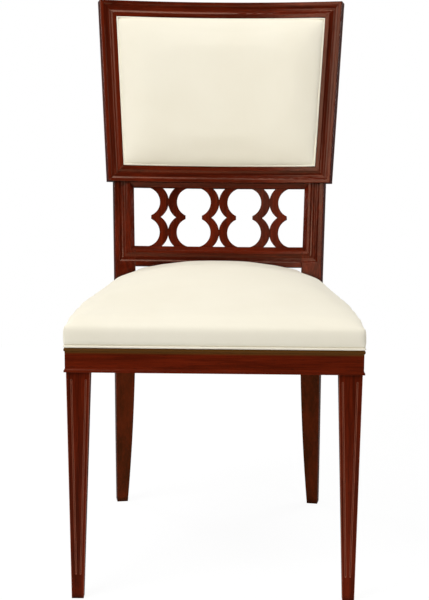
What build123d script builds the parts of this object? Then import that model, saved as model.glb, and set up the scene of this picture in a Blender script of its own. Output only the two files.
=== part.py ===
from build123d import *
from math import asin, atan2, cos, degrees, radians, sin, sqrt
import os

# Side chair in mahogany, with a pierced fret under an upholstered back panel and an upholstered seat.
# X runs to the right of someone facing the chair, Y to its back and Z up, in millimetres.
# The origin is on the floor under the middle of the chair's box.

# Seat frame
SEAT_WIDTH = 465.0
RAIL_BOTTOM = 376.0
RAIL_HEIGHT = 39.6
RAIL_THICKNESS = 22.0
BEAD_HEIGHT = 6.6
BEAD_PROUD = 1.6
BASE_HEIGHT = 9.0
BASE_PROUD = 1.6
BASE_LIP = 3.0

# Front legs
LEG_INSET = 1.4
FRONT_LEG_TOP = 37.6
FRONT_LEG_FOOT = 19.4
FRONT_LEG_LEAN = 5.0
FLUTE_WIDTH = 3.0
FLUTE_OUTER_INSET = 8.2
FLUTE_INNER_INSET = 6.0
FLUTE_TOP_GAP = 13.0
FLUTE_FOOT_GAP = 42.0

# Rear legs and their posts
POST_WIDTH = 35.0
POST_DEPTH = 32.0
POST_SPAN = 358.9
POST_TOP_SPAN = 365.8
KNEE_DROP = 25.0
KNEE_FORWARD = 2.5
BLOCK_MARGIN = 4.0
REAR_RAIL_INSET = 8.0
REAR_FOOT_SPAN = 367.6
REAR_FOOT_WIDTH = 19.5
REAR_FOOT_DEPTH = 22.0
REAR_FOOT_SETBACK = 488.0
LEG_CURVE = 0.75
EDGE_ROUND = 1.2

# Curve and rake of the back, and heights measured up the rake from the seat line
BACK_RAKE = 14.0
BACK_RADIUS = 990.0
BACK_SETBACK = 420.0
SEAT_LINE = 465.0
CROSS_RAIL_DROP = 7.5
CROSS_RAIL_HEIGHT = 35.5
FRET_HEIGHT = 103.0
HEAD_RAIL_HEIGHT = 9.0
FRET_RAIL_DEPTH = 28.0

# Moulding round the fret opening
BEVEL = 8.0
INNER_LIP = 4.0
COVE_WIDTH = 15.5
COVE_DEPTH = 3.5

# Fret splats
SPLAT_THICKNESS = 11.0
SPLAT_SETBACK = 9.0
SPLAT_PITCH = 87.8
SPLAT_TONGUE = 4.0
OUTER_ARC_RADIUS = 32.1
OUTER_ARC_REACH = 31.8
INNER_ARC_RADIUS = 25.7
INNER_ARC_REACH = 40.5
ARC_RISE = 26.6
CUSP_REACH = 30.1

# Back panel frame
PANEL_HEIGHT = 316.5
PANEL_WIDTH_LOW = 387.2
PANEL_WIDTH_HIGH = 424.4
PANEL_MEMBER = 28.0
PANEL_DEPTH = 30.0
PANEL_PROUD = 6.0
PANEL_LIP = 5.3
PANEL_COVE = 15.5
PANEL_COVE_DEPTH = 3.2
PANEL_BREAK = 0.8
REBATE_WIDTH = 8.0
REBATE_FRONT = 14.0
BACK_BOARD_THICKNESS = 8.0
OUTSIDE_BACK_THICKNESS = 6.0

# Upholstery
COVER_THICKNESS = 2.2
WELT_RADIUS = 1.9
BACK_CROWN = 14.0
SEAT_BOARD_THICKNESS = 12.0
SEAT_PROUD = 1.5
SEAT_EDGE = 30.0
SEAT_CROWN = 38.0
SEAT_ROUND = 6.0
SEAT_BULGE = 1.0
SEAT_DEPTH = 424.0
DUST_COVER_THICKNESS = 0.8
DUST_COVER_MARGIN = 6.0

# Corner blocks, screws and dowels
BLOCK_HEIGHT = 24.0
BLOCK_LENGTH = 62.0
BLOCK_DROP = 4.0
SCREW_DIAMETER = 4.0
SCREW_HEAD = 8.0
SCREW_HEAD_HEIGHT = 2.4
BLOCK_SCREW_LENGTH = 32.0
BLOCK_SCREW_BITE = 14.0
SEAT_SCREW_BITE = 9.0
DOWEL_DIAMETER = 8.0
DOWEL_LENGTH = 36.0
MITRE_DOWEL_DIAMETER = 6.0
MITRE_DOWEL_LENGTH = 20.0
DOWEL_END_ROOM = 0.5

# Fits
GLUE_GAP = 0.1
PANEL_GAP = 0.3
POST_GAP = 1.0

# How far a cutter runs past the face that it cuts
CUTTER_REACH = 1.0

os.makedirs("parts", exist_ok=True)

# The curved back: u across, v up the rake and w to the front of the curve's middle
RIGHT = Vector(1, 0, 0)
rake = radians(BACK_RAKE)
up_back = Vector(0, sin(rake), cos(rake))
to_front = Vector(0, -cos(rake), sin(rake))
opening_low = CROSS_RAIL_HEIGHT - CROSS_RAIL_DROP
opening_high = opening_low + FRET_HEIGHT
panel_low = opening_high + HEAD_RAIL_HEIGHT
panel_high = panel_low + PANEL_HEIGHT

# The chair's box runs from the seat's welt in front to the back of the panel's top rail
seat_welt_out = SEAT_PROUD - COVER_THICKNESS + WELT_RADIUS
welt_front = seat_welt_out + WELT_RADIUS
box_depth = welt_front + BACK_SETBACK + panel_high * sin(rake) + (PANEL_DEPTH - PANEL_PROUD) * cos(rake)
front_y = welt_front - box_depth / 2
back_origin = Vector(0, front_y + BACK_SETBACK, SEAT_LINE)
rail_top = RAIL_BOTTOM + RAIL_HEIGHT
dowel_hole = DOWEL_DIAMETER / 2 + GLUE_GAP
dowel_room = DOWEL_LENGTH + 2 * DOWEL_END_ROOM
screw_hole = SCREW_DIAMETER / 2 + GLUE_GAP


def bow(u, radius=BACK_RADIUS):
    """How far a curve of the back comes forward at u, measured from the middle of the main curve."""
    return BACK_RADIUS - sqrt(radius**2 - u**2)


def back_point(u, v, w):
    """The point at u across, v up the rake and w to the front."""
    return back_origin + RIGHT * u + up_back * v + to_front * w


def facing(turn):
    """The direction that the curved face looks in where it has turned by this angle."""
    return to_front * cos(turn) - RIGHT * sin(turn)


def across_plane(u, v, turn):
    """Section square to the rake with its origin on the curved face: x outward, y to the front."""
    return Plane(back_point(u, v, bow(u)), x_dir=RIGHT * cos(turn) + to_front * sin(turn), z_dir=up_back * -1)


def upright_plane(turn):
    """Section through the axis of the curved face: x to the front, y up the rake."""
    u = BACK_RADIUS * sin(turn)
    return Plane(back_point(u, 0, bow(u)), x_dir=facing(turn), z_dir=facing(turn).cross(up_back))


back_axis = Axis(back_point(0, 0, BACK_RADIUS), up_back)

# The right post: its lean, its inner face and the mitres at the corners of the fret opening
post_turn = asin((POST_SPAN - POST_WIDTH) / 2 / BACK_RADIUS)


def post_u(v):
    """The middle of the right post at v."""
    span = POST_SPAN + (POST_TOP_SPAN - POST_SPAN) * v / panel_low
    return span / 2 - POST_WIDTH / 2 * cos(post_turn)


knee_v = -KNEE_DROP
post_knee = across_plane(post_u(knee_v), knee_v, post_turn)
post_head = across_plane(post_u(panel_low), panel_low, post_turn)
post_run = post_head.origin - post_knee.origin
post_inner_x = -POST_WIDTH / 2
corner_low = across_plane(post_u(opening_low), opening_low, post_turn).from_local_coords((post_inner_x, 0, 0))
corner_high = across_plane(post_u(opening_high), opening_high, post_turn).from_local_coords((post_inner_x, 0, 0))
post_inner_face = Plane(corner_low, x_dir=facing(post_turn), z_dir=post_run.cross(facing(post_turn)))
mitre_low = Plane(corner_low, x_dir=facing(post_turn), z_dir=post_head.x_dir + up_back)
mitre_high = Plane(corner_high, x_dir=facing(post_turn), z_dir=post_head.x_dir - up_back)
sweep_turn = asin((POST_SPAN / 2 + POST_WIDTH) / BACK_RADIUS)

# The rear leg's block, where the seat rails meet it
block_front = post_knee.origin.Y - KNEE_FORWARD
block_x = post_u(knee_v)
block_low = RAIL_BOTTOM - BLOCK_MARGIN
block_high = rail_top + BLOCK_MARGIN


def leg_plane(x, y, z):
    """Level section of the right rear leg with its origin in the front face: x outward, y to the front."""
    return Plane((x, y, z), x_dir=(cos(post_turn), -sin(post_turn), 0), z_dir=(0, 0, -1))


block_plane = leg_plane(block_x, block_front, block_low)
block_face = Plane(block_plane.origin, x_dir=block_plane.x_dir, z_dir=block_plane.y_dir)
block_inner_face = Plane(block_plane.from_local_coords((post_inner_x, 0, 0)), x_dir=block_plane.y_dir,
                         z_dir=block_plane.x_dir)

# The seat's plan: side rails run straight from the front corners to the rear legs
rear_corner = block_plane.from_local_coords((POST_WIDTH / 2, 0, 0))
side_slope = (SEAT_WIDTH / 2 - rear_corner.X) / (rear_corner.Y - front_y)
side_angle = atan2(side_slope, 1)
front_corner = Vector(SEAT_WIDTH / 2, front_y, 0)
side_run = Vector(-sin(side_angle), cos(side_angle), 0)
rear_rail_front = block_front + REAR_RAIL_INSET


def side_x(y, inset):
    """The x of a line along the right side rail, inset from its face, at this y."""
    return SEAT_WIDTH / 2 - (y - front_y) * side_slope - inset / cos(side_angle)


def block_inner_point(gap, y):
    """The point at this y on a line this far inside the rear leg's inner face, at the foot of the block."""
    start = block_plane.from_local_coords((post_inner_x - gap, 0, 0))
    return start + block_plane.y_dir * ((y - start.Y) / block_plane.y_dir.Y)


# Dowels: each is a plane whose z runs along the dowel, at its middle
side_rail_end = block_plane.from_local_coords((POST_WIDTH / 2 - RAIL_THICKNESS / 2, 0, 0))
rear_rail_middle = rear_rail_front + RAIL_THICKNESS / 2
rear_rail_end = block_inner_point(0, rear_rail_middle)
dowel_levels = (RAIL_BOTTOM + RAIL_HEIGHT * 0.3, RAIL_BOTTOM + RAIL_HEIGHT * 0.7)
seat_dowel_planes = [Plane((side_rail_end.X, side_rail_end.Y, z), z_dir=side_run) for z in dowel_levels]
seat_dowel_planes += [Plane((rear_rail_end.X, rear_rail_end.Y, z), z_dir=RIGHT) for z in dowel_levels]
fret_dowel_levels = (opening_low - CROSS_RAIL_HEIGHT * 0.8, opening_low - CROSS_RAIL_HEIGHT * 0.42)
back_dowel_planes = []
for level in fret_dowel_levels:
    inner_edge = across_plane(post_u(level), level, post_turn)
    middle = inner_edge.from_local_coords((post_inner_x, -FRET_RAIL_DEPTH / 2, 0))
    back_dowel_planes.append(Plane(middle, z_dir=inner_edge.x_dir))
for offset in (-POST_WIDTH * 0.28, POST_WIDTH * 0.06):
    middle = post_head.from_local_coords((offset, -POST_DEPTH / 2, 0))
    back_dowel_planes.append(Plane(middle, z_dir=up_back))

# The panel frame: its stiles lean outward, and its corners are mitred
stile_turn = asin(((PANEL_WIDTH_LOW + PANEL_WIDTH_HIGH) / 4 - PANEL_MEMBER / 2) / BACK_RADIUS)


def stile_u(v):
    """The outer edge of the right stile at v."""
    return (PANEL_WIDTH_LOW + (PANEL_WIDTH_HIGH - PANEL_WIDTH_LOW) * (v - panel_low) / PANEL_HEIGHT) / 2


def panel_mitre(outer_v, inner_v):
    """The mitre between the outer and inner corners at these heights."""
    outer = across_plane(stile_u(outer_v), outer_v, stile_turn).origin
    inner = across_plane(stile_u(inner_v), inner_v, stile_turn).from_local_coords((-PANEL_MEMBER, 0, 0))
    return Plane(outer, x_dir=inner - outer, z_dir=(inner - outer).cross(facing(stile_turn)))


panel_mitre_low = panel_mitre(panel_low, panel_low + PANEL_MEMBER)
panel_mitre_high = panel_mitre(panel_high, panel_high - PANEL_MEMBER)
stile_start = across_plane(stile_u(panel_low - PANEL_MEMBER), panel_low - PANEL_MEMBER, stile_turn)
stile_end = across_plane(stile_u(panel_high + PANEL_MEMBER), panel_high + PANEL_MEMBER, stile_turn)
stile_run = stile_end.origin - stile_start.origin
panel_sweep = asin((PANEL_WIDTH_HIGH / 2 + PANEL_MEMBER) / BACK_RADIUS)
mitre_reach = PANEL_MEMBER / sqrt(2)
mitre_dowel_depth = PANEL_PROUD - REBATE_FRONT + MITRE_DOWEL_DIAMETER / 2 + DOWEL_END_ROOM
mitre_dowel_planes = [
    Plane(mitre.from_local_coords((mitre_reach, 0, 0)) + facing(stile_turn) * mitre_dowel_depth, z_dir=mitre.z_dir)
    for mitre in (panel_mitre_low, panel_mitre_high)
]


def stile_inner_plane(inset):
    """Plane along the right stile, this far in from its outer edge, looking outward."""
    return Plane(stile_start.from_local_coords((-inset, 0, 0)), x_dir=facing(stile_turn),
                 z_dir=stile_run.cross(facing(stile_turn)))


# Right front leg: tapering square leg with fluted faces, and a slim post up inside the frame's corner
def leg_corners(size, lean):
    """The four corners of the right front leg: outer front, inner front, inner back, outer back."""
    x = SEAT_WIDTH / 2 - LEG_INSET - lean
    y = front_y + LEG_INSET + lean
    return [(x, y), (x - size, y), (x - size, y + size), (x - size * side_slope, y + size)]


top_corners = leg_corners(FRONT_LEG_TOP, 0)
foot_corners = leg_corners(FRONT_LEG_FOOT, FRONT_LEG_LEAN)
flute_radius = FLUTE_WIDTH / 2
flute_slant = flute_radius / sqrt(2)
post_outer_y = front_y + RAIL_THICKNESS
post_back_y = front_y + LEG_INSET + FRONT_LEG_TOP
leg_inner_x = SEAT_WIDTH / 2 - LEG_INSET - FRONT_LEG_TOP
leg_post_outline = [
    (side_x(post_outer_y, RAIL_THICKNESS), post_outer_y),
    (leg_inner_x, post_outer_y),
    top_corners[2],
    (side_x(post_back_y, RAIL_THICKNESS), post_back_y),
]


def leg_edge_point(index, z):
    """The point at height z on one of the four edges of the right front leg."""
    share = 1 - z / RAIL_BOTTOM
    top = Vector(*top_corners[index], RAIL_BOTTOM)
    foot = Vector(*foot_corners[index], 0)
    return top + (foot - top) * share


def flute_ends(edge, other, inset):
    """The two ends of the flute this far in from one edge, on the face between it and the other edge."""
    ends = []
    for z in (RAIL_BOTTOM - FLUTE_TOP_GAP, FLUTE_FOOT_GAP):
        start = leg_edge_point(edge, z)
        ends.append(start + (leg_edge_point(other, z) - start).normalized() * inset)
    return ends


flutes = [
    (Vector(0, 1, 0), flute_ends(0, 1, FLUTE_OUTER_INSET)),
    (Vector(0, 1, 0), flute_ends(1, 0, FLUTE_INNER_INSET)),
    (-RIGHT, flute_ends(0, 3, FLUTE_OUTER_INSET)),
    (-RIGHT, flute_ends(3, 0, FLUTE_INNER_INSET)),
]

with BuildPart() as front_leg_right:
    with BuildSketch(Plane.XY) as leg_foot:
        with BuildLine():
            Polyline(*foot_corners, close=True)
        make_face()
        fillet(leg_foot.vertices(), EDGE_ROUND)
    with BuildSketch(Plane.XY.offset(RAIL_BOTTOM)) as leg_top:
        with BuildLine():
            Polyline(*top_corners, close=True)
        make_face()
        fillet(leg_top.vertices(), EDGE_ROUND)
    loft(ruled=True)
    with BuildSketch(Plane.XY.offset(RAIL_BOTTOM)):
        with BuildLine():
            Polyline(*leg_post_outline, close=True)
        make_face()
    extrude(amount=RAIL_HEIGHT)
    for inward, (flute_top, flute_foot) in flutes:
        flute_run = flute_top - flute_foot
        flute_length = flute_run.length
        with BuildSketch(Plane(flute_foot, x_dir=flute_run, z_dir=flute_run.cross(inward))):
            with BuildLine():
                Line((-flute_radius, 0), (flute_length + flute_radius, 0))
                ThreePointArc((flute_length + flute_radius, 0), (flute_length + flute_slant, flute_slant),
                              (flute_length, flute_radius))
                Line((flute_length, flute_radius), (0, flute_radius))
                ThreePointArc((0, flute_radius), (-flute_slant, flute_slant), (-flute_radius, 0))
            make_face()
        revolve(axis=Axis(flute_foot, flute_run), mode=Mode.SUBTRACT)
front_leg_right.part.label = "front_leg_right"
export_step(front_leg_right.part, "parts/front_leg_right.step")

with BuildPart() as front_leg_left:
    mirror(front_leg_right.part, about=Plane.YZ)
front_leg_left.part.label = "front_leg_left"
export_step(front_leg_left.part, "parts/front_leg_left.step")

# Mouldings of the right post: a bevel at the opening and a cove outside it, mitred at the corners
cove_start = post_inner_x + BEVEL + INNER_LIP
cove_end = cove_start + COVE_WIDTH
cove_low = opening_low - BEVEL - INNER_LIP

with BuildPart() as post_bevel:
    with BuildSketch(post_knee):
        with BuildLine():
            Polyline((post_inner_x - CUTTER_REACH, -BEVEL - CUTTER_REACH),
                     (post_inner_x + BEVEL + CUTTER_REACH, CUTTER_REACH),
                     (post_inner_x - CUTTER_REACH, CUTTER_REACH), close=True)
        make_face()
    extrude(amount=post_run.length, dir=post_run.normalized())
    split(bisect_by=mitre_low, keep=Keep.TOP)
    split(bisect_by=mitre_high, keep=Keep.TOP)

with BuildPart() as post_cove:
    with BuildSketch(post_knee):
        with BuildLine():
            ThreePointArc((cove_start, 0), ((cove_start + cove_end) / 2, -COVE_DEPTH), (cove_end, 0))
            Polyline((cove_end, 0), (cove_end, CUTTER_REACH), (cove_start, CUTTER_REACH), (cove_start, 0))
        make_face()
    extrude(amount=post_run.length + CUTTER_REACH, dir=post_run.normalized())
    split(bisect_by=mitre_low, keep=Keep.TOP)

with BuildPart() as corner_cove:
    with BuildSketch(upright_plane(sweep_turn)):
        with BuildLine():
            ThreePointArc((0, cove_low), (-COVE_DEPTH, cove_low - COVE_WIDTH / 2), (0, cove_low - COVE_WIDTH))
            Polyline((0, cove_low - COVE_WIDTH), (CUTTER_REACH, cove_low - COVE_WIDTH),
                     (CUTTER_REACH, cove_low), (0, cove_low))
        make_face()
    revolve(axis=back_axis, revolution_arc=degrees(sweep_turn))
    split(bisect_by=mitre_low, keep=Keep.BOTTOM)

with BuildPart() as corner_bevel:
    with BuildSketch(upright_plane(sweep_turn)):
        with BuildLine():
            Polyline((-BEVEL - CUTTER_REACH, opening_low + CUTTER_REACH),
                     (CUTTER_REACH, opening_low - BEVEL - CUTTER_REACH),
                     (CUTTER_REACH, opening_low + CUTTER_REACH), close=True)
        make_face()
    revolve(axis=back_axis, revolution_arc=degrees(sweep_turn))
    split(bisect_by=mitre_low, keep=Keep.BOTTOM)

with BuildPart() as head_bevel:
    with BuildSketch(upright_plane(sweep_turn)):
        with BuildLine():
            Polyline((-BEVEL - CUTTER_REACH, opening_high - CUTTER_REACH),
                     (CUTTER_REACH, opening_high + BEVEL + CUTTER_REACH),
                     (CUTTER_REACH, opening_high - CUTTER_REACH), close=True)
        make_face()
    revolve(axis=back_axis, revolution_arc=degrees(sweep_turn))
    split(bisect_by=mitre_high, keep=Keep.BOTTOM)

# Right rear leg: raked foot, block at the seat rails, knee, and straight post up to the panel
with BuildPart() as rear_leg_right:
    for share in (1, 2 / 3, 1 / 3, 0):
        width = POST_WIDTH - (POST_WIDTH - REAR_FOOT_WIDTH) * share**2
        depth = POST_DEPTH - (POST_DEPTH - REAR_FOOT_DEPTH) * share
        outer = block_x + POST_WIDTH / 2 + (REAR_FOOT_SPAN / 2 - block_x - POST_WIDTH / 2) * share
        sweep_back = LEG_CURVE * share + (1 - LEG_CURVE) * share**2
        y = block_front + (front_y + REAR_FOOT_SETBACK - block_front) * sweep_back
        with BuildSketch(leg_plane(outer - width / 2, y, block_low * (1 - share))):
            with Locations((0, -depth / 2)):
                RectangleRounded(width, depth, EDGE_ROUND)
    loft()
    with BuildSketch(block_plane):
        with Locations((0, -POST_DEPTH / 2)):
            RectangleRounded(POST_WIDTH, POST_DEPTH, EDGE_ROUND)
    extrude(amount=-(block_high - block_low))
    with BuildSketch(leg_plane(block_x, block_front, block_high)):
        with Locations((0, -POST_DEPTH / 2)):
            RectangleRounded(POST_WIDTH, POST_DEPTH, EDGE_ROUND)
    with BuildSketch(post_knee):
        with Locations((0, -POST_DEPTH / 2)):
            RectangleRounded(POST_WIDTH, POST_DEPTH, EDGE_ROUND)
    loft(ruled=True)
    with BuildSketch(post_knee):
        with Locations((0, -POST_DEPTH / 2)):
            RectangleRounded(POST_WIDTH, POST_DEPTH, EDGE_ROUND)
    extrude(amount=post_run.length, dir=post_run.normalized())
    for moulding in (post_bevel, post_cove, corner_cove, corner_bevel, head_bevel):
        add(moulding.part, mode=Mode.SUBTRACT)
    with Locations(*seat_dowel_planes, *back_dowel_planes):
        Cylinder(dowel_hole, dowel_room, mode=Mode.SUBTRACT)
rear_leg_right.part.label = "rear_leg_right"
export_step(rear_leg_right.part, "parts/rear_leg_right.step")

with BuildPart() as rear_leg_left:
    mirror(rear_leg_right.part, about=Plane.YZ)
rear_leg_left.part.label = "rear_leg_left"
export_step(rear_leg_left.part, "parts/rear_leg_left.step")

# Corner blocks: the front one hugs the leg's slim post, the rear one stands clear of the rear leg
block_under = rail_top - BLOCK_DROP - BLOCK_HEIGHT
block_middle = block_under + BLOCK_HEIGHT / 2
side_outward = Vector(cos(side_angle), sin(side_angle), 0)
front_block_inner = Vector(*leg_post_outline[1])
front_block_notch = Vector(*leg_post_outline[2])
front_block_side = Vector(*leg_post_outline[3])
front_block_end = front_block_inner - RIGHT * BLOCK_LENGTH
front_block_side_end = front_block_side + side_run * BLOCK_LENGTH
front_block_outline = [front_block_inner, front_block_end, front_block_side_end, front_block_side, front_block_notch]
rail_inner_end = rear_corner - side_outward * RAIL_THICKNESS
rail_inner_lead = block_plane.to_local_coords(rail_inner_end).Y - PANEL_GAP
rear_block_side = rail_inner_end - side_run * (rail_inner_lead / side_run.dot(block_plane.y_dir))
rear_block_side_end = rear_block_side - side_run * BLOCK_LENGTH
rear_block_notch = block_plane.from_local_coords((post_inner_x - PANEL_GAP, PANEL_GAP, 0))
rear_block_inner = block_inner_point(PANEL_GAP, rear_rail_front)
rear_block_end = rear_block_inner - RIGHT * BLOCK_LENGTH
rear_block_outline = [rear_block_side_end, rear_block_side, rear_block_notch, rear_block_inner, rear_block_end]


def at_level(point, z):
    """The same place in plan at another height."""
    return Vector(point.X, point.Y, z)


# Each block screw is a plane in the rail's inner face whose z runs into the rail
screw_step = BLOCK_LENGTH * 0.62
front_rail_screws = [Plane(at_level(front_block_inner - RIGHT * screw_step, block_middle), z_dir=(0, -1, 0))]
side_rail_screws = [
    Plane(at_level(front_block_side + side_run * screw_step, block_middle), z_dir=side_outward),
    Plane(at_level(rear_block_side - side_run * screw_step, block_middle), z_dir=side_outward),
]
rear_rail_screws = [Plane(at_level(rear_block_inner - RIGHT * screw_step, block_middle), z_dir=(0, 1, 0))]
block_screws = front_rail_screws + side_rail_screws + rear_rail_screws
screw_shank = BLOCK_SCREW_LENGTH - BLOCK_SCREW_BITE
front_block_middle = (front_block_end + front_block_side_end) / 2
rear_block_middle = (rear_block_end + rear_block_side_end) / 2
seat_screws_at = [
    Plane(at_level(front_block_notch + (front_block_middle - front_block_notch) * 0.45, block_under)),
    Plane(at_level(rear_block_notch + (rear_block_middle - rear_block_notch) * 0.45, block_under)),
]
seat_screw_length = BLOCK_HEIGHT + BLOCK_DROP + SEAT_SCREW_BITE
upward = (Align.CENTER, Align.CENTER, Align.MIN)
downward = (Align.CENTER, Align.CENTER, Align.MAX)

# Seat rails: a bead on the top edge, a hollow base moulding and mitred front corners
corner_bisector = side_run - RIGHT
front_mitre = Plane(front_corner, x_dir=corner_bisector, z_dir=corner_bisector.cross(Vector(0, 0, 1)))
front_rail_section = Plane((0, front_y, 0), x_dir=(0, -1, 0), z_dir=(-1, 0, 0))
side_rail_section = Plane(front_corner - side_run * RAIL_THICKNESS, x_dir=(cos(side_angle), sin(side_angle), 0),
                          z_dir=side_run * -1)
side_rail_length = (rear_corner - front_corner).length + RAIL_THICKNESS + POST_DEPTH
bead_low = rail_top - BEAD_HEIGHT
base_top = RAIL_BOTTOM + BASE_HEIGHT
hollow_x = BASE_PROUD * 0.25
hollow_z = RAIL_BOTTOM + BASE_LIP + (BASE_HEIGHT - BASE_LIP) * 0.35

with BuildSketch() as rail_profile:
    with BuildLine():
        Polyline((0, bead_low), (0, base_top))
        ThreePointArc((0, base_top), (hollow_x, hollow_z), (BASE_PROUD, RAIL_BOTTOM + BASE_LIP))
        Polyline((BASE_PROUD, RAIL_BOTTOM + BASE_LIP), (BASE_PROUD, RAIL_BOTTOM), (-RAIL_THICKNESS, RAIL_BOTTOM),
                 (-RAIL_THICKNESS, rail_top), (0, rail_top))
        ThreePointArc((0, rail_top), (BEAD_PROUD, rail_top - BEAD_HEIGHT / 2), (0, bead_low))
    make_face()

with BuildPart() as front_seat_rail:
    with BuildSketch(front_rail_section):
        add(rail_profile.sketch)
    extrude(amount=-(SEAT_WIDTH / 2 + RAIL_THICKNESS))
    split(bisect_by=front_mitre, keep=Keep.BOTTOM)
    with Locations(*front_rail_screws):
        Cylinder(screw_hole, BLOCK_SCREW_BITE + DOWEL_END_ROOM, align=upward, mode=Mode.SUBTRACT)
    mirror(about=Plane.YZ)
front_seat_rail.part.label = "front_seat_rail"
export_step(front_seat_rail.part, "parts/front_seat_rail.step")

with BuildPart() as right_seat_rail:
    with BuildSketch(side_rail_section):
        add(rail_profile.sketch)
    extrude(amount=-side_rail_length)
    split(bisect_by=front_mitre, keep=Keep.TOP)
    split(bisect_by=block_face, keep=Keep.TOP)
    with Locations(*seat_dowel_planes):
        Cylinder(dowel_hole, dowel_room, mode=Mode.SUBTRACT)
    with Locations(*side_rail_screws):
        Cylinder(screw_hole, BLOCK_SCREW_BITE + DOWEL_END_ROOM, align=upward, mode=Mode.SUBTRACT)
right_seat_rail.part.label = "right_seat_rail"
export_step(right_seat_rail.part, "parts/right_seat_rail.step")

with BuildPart() as left_seat_rail:
    mirror(right_seat_rail.part, about=Plane.YZ)
left_seat_rail.part.label = "left_seat_rail"
export_step(left_seat_rail.part, "parts/left_seat_rail.step")

with BuildPart() as rear_seat_rail:
    with BuildSketch(Plane((0, rear_rail_middle, RAIL_BOTTOM + RAIL_HEIGHT / 2), x_dir=(0, 1, 0), z_dir=(1, 0, 0))):
        Rectangle(RAIL_THICKNESS, RAIL_HEIGHT)
    extrude(amount=POST_SPAN / 2)
    split(bisect_by=block_inner_face, keep=Keep.BOTTOM)
    with Locations(*seat_dowel_planes):
        Cylinder(dowel_hole, dowel_room, mode=Mode.SUBTRACT)
    with Locations(*rear_rail_screws):
        Cylinder(screw_hole, BLOCK_SCREW_BITE + DOWEL_END_ROOM, align=upward, mode=Mode.SUBTRACT)
    mirror(about=Plane.YZ)
rear_seat_rail.part.label = "rear_seat_rail"
export_step(rear_seat_rail.part, "parts/rear_seat_rail.step")

# Dowels of the seat frame
with BuildPart() as seat_frame_dowels:
    with Locations(*seat_dowel_planes):
        Cylinder(DOWEL_DIAMETER / 2, DOWEL_LENGTH)
    mirror(about=Plane.YZ)
seat_frame_dowels.part.label = "seat_frame_dowels"
export_step(seat_frame_dowels.part, "parts/seat_frame_dowels.step")

# Corner blocks, each drilled for two screws into the rails and one up into the seat
with BuildPart() as corner_block_front_right:
    with BuildSketch(Plane.XY.offset(block_under)):
        with BuildLine():
            Polyline(*[(corner.X, corner.Y) for corner in front_block_outline], close=True)
        make_face()
    extrude(amount=BLOCK_HEIGHT)
    with Locations(front_rail_screws[0], side_rail_screws[0]):
        Cylinder(screw_hole, screw_shank, align=downward, mode=Mode.SUBTRACT)
    with Locations(front_rail_screws[0].offset(-screw_shank), side_rail_screws[0].offset(-screw_shank)):
        Cylinder(SCREW_HEAD / 2 + PANEL_GAP, BLOCK_LENGTH, align=downward, mode=Mode.SUBTRACT)
    with Locations(seat_screws_at[0]):
        Cylinder(screw_hole, BLOCK_HEIGHT, align=upward, mode=Mode.SUBTRACT)
corner_block_front_right.part.label = "corner_block_front_right"
export_step(corner_block_front_right.part, "parts/corner_block_front_right.step")

with BuildPart() as corner_block_front_left:
    mirror(corner_block_front_right.part, about=Plane.YZ)
corner_block_front_left.part.label = "corner_block_front_left"
export_step(corner_block_front_left.part, "parts/corner_block_front_left.step")

with BuildPart() as corner_block_rear_right:
    with BuildSketch(Plane.XY.offset(block_under)):
        with BuildLine():
            Polyline(*[(corner.X, corner.Y) for corner in rear_block_outline], close=True)
        make_face()
    extrude(amount=BLOCK_HEIGHT)
    with Locations(side_rail_screws[1], rear_rail_screws[0]):
        Cylinder(screw_hole, screw_shank, align=downward, mode=Mode.SUBTRACT)
    with Locations(side_rail_screws[1].offset(-screw_shank), rear_rail_screws[0].offset(-screw_shank)):
        Cylinder(SCREW_HEAD / 2 + PANEL_GAP, BLOCK_LENGTH, align=downward, mode=Mode.SUBTRACT)
    with Locations(seat_screws_at[1]):
        Cylinder(screw_hole, BLOCK_HEIGHT, align=upward, mode=Mode.SUBTRACT)
corner_block_rear_right.part.label = "corner_block_rear_right"
export_step(corner_block_rear_right.part, "parts/corner_block_rear_right.step")

with BuildPart() as corner_block_rear_left:
    mirror(corner_block_rear_right.part, about=Plane.YZ)
corner_block_rear_left.part.label = "corner_block_rear_left"
export_step(corner_block_rear_left.part, "parts/corner_block_rear_left.step")

# Screws: two through each corner block into the rails, and one up through it into the seat board
with BuildPart() as corner_block_screws:
    with Locations(*[screw.offset(-screw_shank) for screw in block_screws]):
        Cylinder(SCREW_DIAMETER / 2, BLOCK_SCREW_LENGTH, align=upward)
        Cylinder(SCREW_HEAD / 2, SCREW_HEAD_HEIGHT, align=downward)
    mirror(about=Plane.YZ)
corner_block_screws.part.label = "corner_block_screws"
export_step(corner_block_screws.part, "parts/corner_block_screws.step")

with BuildPart() as seat_screws:
    with Locations(*seat_screws_at):
        Cylinder(SCREW_DIAMETER / 2, seat_screw_length, align=upward)
        Cylinder(SCREW_HEAD / 2, SCREW_HEAD_HEIGHT, align=downward)
    mirror(about=Plane.YZ)
seat_screws.part.label = "seat_screws"
export_step(seat_screws.part, "parts/seat_screws.step")

# Seat board: plywood on the rails, notched round the rear posts
seat_rear = front_y + SEAT_DEPTH
board_inset = COVER_THICKNESS - SEAT_PROUD
board_front = front_y + board_inset
board_front_x = side_x(board_front, board_inset)
board_rear_x = side_x(seat_rear, board_inset)
notch_side = post_inner_x - POST_GAP
notch_back = -2 * POST_DEPTH

with BuildPart() as post_notch:
    with BuildSketch(leg_plane(block_x, block_front, RAIL_BOTTOM)):
        with BuildLine():
            Polyline((notch_side, POST_GAP), (POST_WIDTH, POST_GAP), (POST_WIDTH, notch_back), (notch_side, notch_back),
                     close=True)
        make_face()
    extrude(amount=-(RAIL_HEIGHT + 4 * SEAT_EDGE))
    mirror(about=Plane.YZ)

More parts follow.
